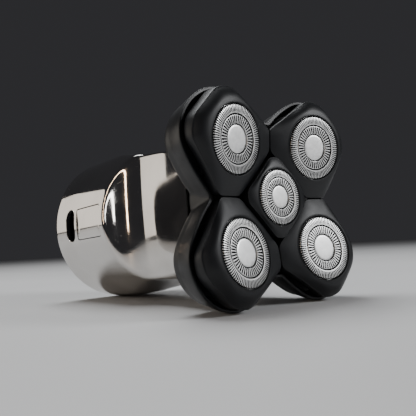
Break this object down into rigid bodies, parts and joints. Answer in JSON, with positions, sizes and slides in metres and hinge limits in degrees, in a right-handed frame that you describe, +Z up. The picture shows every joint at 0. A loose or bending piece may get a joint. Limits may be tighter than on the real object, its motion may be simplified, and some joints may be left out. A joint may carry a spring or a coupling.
{
  "type": "rotary head shaver",
  "caption": "Palm-held rotary head shaver: round chrome body with finger scoops and a lobed black head of floating pods with slotted ring cutters.",
  "frame": {"origin": "bottom centre of the bounding box, on the surface the shaver lies on", "axes": "+Z up, -Y out of the shaving face, +Y towards the rear end of the body, -X the side with the charging slot and the button"},
  "size_m": [0.075, 0.1128, 0.0733],
  "materials": {
    "chrome": "polished",
    "matte_black": "satin",
    "steel": "brushed",
    "silver": "satin",
    "black_plastic": "matte",
    "white_plastic": "smooth",
    "brass": "polished",
    "rubber": "matte",
    "board": "matte",
    "cell_wrap": "wrapped"
  },
  "bodies": {
    "body": {"body_shell": "chrome", "front_collar": "black_plastic", "motor": "steel", "motor_cradle": "black_plastic", "inner_frame": "black_plastic", "battery_rear": "cell_wrap", "battery_front": "cell_wrap", "circuit_board": "board", "switch": "black_plastic", "charging_socket": "black_plastic", "charging_pin_upper": "brass", "charging_pin_lower": "brass", "rear_cap": "black_plastic", "cap_screw_1": "steel", "cap_screw_2": "steel", "cap_screw_3": "steel"},
    "button": {"power_button": "chrome"},
    "drive": {"drive_shaft": "steel"},
    "head": {"head_base": "matte_black", "seal_ring": "rubber", "gear_plate": "steel", "pod_frame": "black_plastic", "frame_screw_upper": "steel", "frame_screw_lower": "steel"},
    "centre_gear_set": {"centre_gear": "white_plastic", "centre_spindle": "steel", "centre_spring": "steel"},
    "centre_pod_set": {"centre_pod": "matte_black", "centre_guard": "steel", "centre_cap": "silver"},
    "centre_blade_set": {"centre_blade": "steel"},
    "upper_left_gear_set": {"upper_left_gear": "white_plastic", "upper_left_spindle": "steel", "upper_left_spring": "steel"},
    "upper_left_pod_set": {"upper_left_pod": "matte_black", "upper_left_guard": "steel", "upper_left_cap": "silver"},
    "upper_left_blade_set": {"upper_left_blade": "steel"},
    "upper_right_gear_set": {"upper_right_gear": "white_plastic", "upper_right_spindle": "steel", "upper_right_spring": "steel"},
    "upper_right_pod_set": {"upper_right_pod": "matte_black", "upper_right_guard": "steel", "upper_right_cap": "silver"},
    "upper_right_blade_set": {"upper_right_blade": "steel"},
    "lower_left_gear_set": {"lower_left_gear": "white_plastic", "lower_left_spindle": "steel", "lower_left_spring": "steel"},
    "lower_left_pod_set": {"lower_left_pod": "matte_black", "lower_left_guard": "steel", "lower_left_cap": "silver"},
    "lower_left_blade_set": {"lower_left_blade": "steel"},
    "lower_right_gear_set": {"lower_right_gear": "white_plastic", "lower_right_spindle": "steel", "lower_right_spring": "steel"},
    "lower_right_pod_set": {"lower_right_pod": "matte_black", "lower_right_guard": "steel", "lower_right_cap": "silver"},
    "lower_right_blade_set": {"lower_right_blade": "steel"}
  },
  "joints": [
    {"name": "button_press", "type": "slide", "parent": "body", "child": "button", "axis": [1, 0, 0], "range_m": [0, 0.0005], "stiffness_N_per_m": 400},
    {"name": "drive_spin", "type": "hinge", "parent": "body", "child": "drive", "pos_m": [0, -0.01319, 0.03516], "axis": [0, -0.999, 0.0447], "continuous": true},
    {"name": "head_lift_off", "type": "slide", "parent": "body", "child": "head", "axis": [0, -0.999, 0.0447], "range_m": [0, 0.014]},
    {"name": "centre_gear_spin", "type": "hinge", "parent": "head", "child": "centre_gear_set", "pos_m": [0, -0.04016, 0.03636], "axis": [0, -0.999, 0.0447], "continuous": true},
    {"name": "upper_left_gear_spin", "type": "hinge", "parent": "head", "child": "upper_left_gear_set", "pos_m": [-0.01951, -0.03933, 0.05488], "axis": [0, -0.999, 0.0447], "continuous": true},
    {"name": "upper_right_gear_spin", "type": "hinge", "parent": "head", "child": "upper_right_gear_set", "pos_m": [0.01951, -0.03933, 0.05488], "axis": [0, -0.999, 0.0447], "continuous": true},
    {"name": "lower_left_gear_spin", "type": "hinge", "parent": "head", "child": "lower_left_gear_set", "pos_m": [-0.01951, -0.04099, 0.01785], "axis": [0, -0.999, 0.0447], "continuous": true},
    {"name": "lower_right_gear_spin", "type": "hinge", "parent": "head", "child": "lower_right_gear_set", "pos_m": [0.01951, -0.04099, 0.01785], "axis": [0, -0.999, 0.0447], "continuous": true},
    {"name": "centre_pod_press", "type": "slide", "parent": "head", "child": "centre_pod_set", "axis": [0, 0.999, -0.0447], "range_m": [0, 0.001], "stiffness_N_per_m": 500},
    {"name": "centre_blade_spin", "type": "hinge", "parent": "centre_pod_set", "child": "centre_blade_set", "pos_m": [0, -0.05015, 0.03681], "axis": [0, -0.999, 0.0447], "continuous": true},
    {"name": "upper_left_pod_tilt", "type": "hinge", "parent": "head", "child": "upper_left_pod_set", "pos_m": [-0.01939, -0.04937, 0.05521], "axis": [-0.6887, -0.0324, -0.7243], "range_deg": [-4, 4], "stiffness_Nm_per_rad": 0.05},
    {"name": "upper_left_blade_spin", "type": "hinge", "parent": "upper_left_pod_set", "child": "upper_left_blade_set", "pos_m": [-0.01939, -0.04937, 0.05521], "axis": [0.1296, -0.9884, -0.079], "continuous": true},
    {"name": "upper_right_pod_tilt", "type": "hinge", "parent": "head", "child": "upper_right_pod_set", "pos_m": [0.01939, -0.04937, 0.05521], "axis": [-0.6887, 0.0324, 0.7243], "range_deg": [-4, 4], "stiffness_Nm_per_rad": 0.05},
    {"name": "upper_right_blade_spin", "type": "hinge", "parent": "upper_right_pod_set", "child": "upper_right_blade_set", "pos_m": [0.01939, -0.04937, 0.05521], "axis": [-0.1296, -0.9884, -0.079], "continuous": true},
    {"name": "lower_left_pod_tilt", "type": "hinge", "parent": "head", "child": "lower_left_pod_set", "pos_m": [-0.01939, -0.05102, 0.01841], "axis": [0.6887, -0.0324, -0.7243], "range_deg": [-4, 4], "stiffness_Nm_per_rad": 0.05},
    {"name": "lower_left_blade_spin", "type": "hinge", "parent": "lower_left_pod_set", "child": "lower_left_blade_set", "pos_m": [-0.01939, -0.05102, 0.01841], "axis": [0.1296, -0.9774, 0.167], "continuous": true},
    {"name": "lower_right_pod_tilt", "type": "hinge", "parent": "head", "child": "lower_right_pod_set", "pos_m": [0.01939, -0.05102, 0.01841], "axis": [0.6887, 0.0324, 0.7243], "range_deg": [-4, 4], "stiffness_Nm_per_rad": 0.05},
    {"name": "lower_right_blade_spin", "type": "hinge", "parent": "lower_right_pod_set", "child": "lower_right_blade_set", "pos_m": [0.01939, -0.05102, 0.01841], "axis": [-0.1296, -0.9774, 0.167], "continuous": true}
  ],
  "couplings": [
    {"joint": "drive_spin", "follows": "centre_gear_spin", "ratio": 1},
    {"joint": "upper_left_gear_spin", "follows": "centre_gear_spin", "ratio": -1.75},
    {"joint": "upper_right_gear_spin", "follows": "centre_gear_spin", "ratio": -1.75},
    {"joint": "lower_left_gear_spin", "follows": "centre_gear_spin", "ratio": -1.75},
    {"joint": "lower_right_gear_spin", "follows": "centre_gear_spin", "ratio": -1.75},
    {"joint": "centre_blade_spin", "follows": "centre_gear_spin", "ratio": 1},
    {"joint": "upper_left_blade_spin", "follows": "centre_gear_spin", "ratio": -1.75},
    {"joint": "upper_right_blade_spin", "follows": "centre_gear_spin", "ratio": -1.75},
    {"joint": "lower_left_blade_spin", "follows": "centre_gear_spin", "ratio": -1.75},
    {"joint": "lower_right_blade_spin", "follows": "centre_gear_spin", "ratio": -1.75}
  ]
}
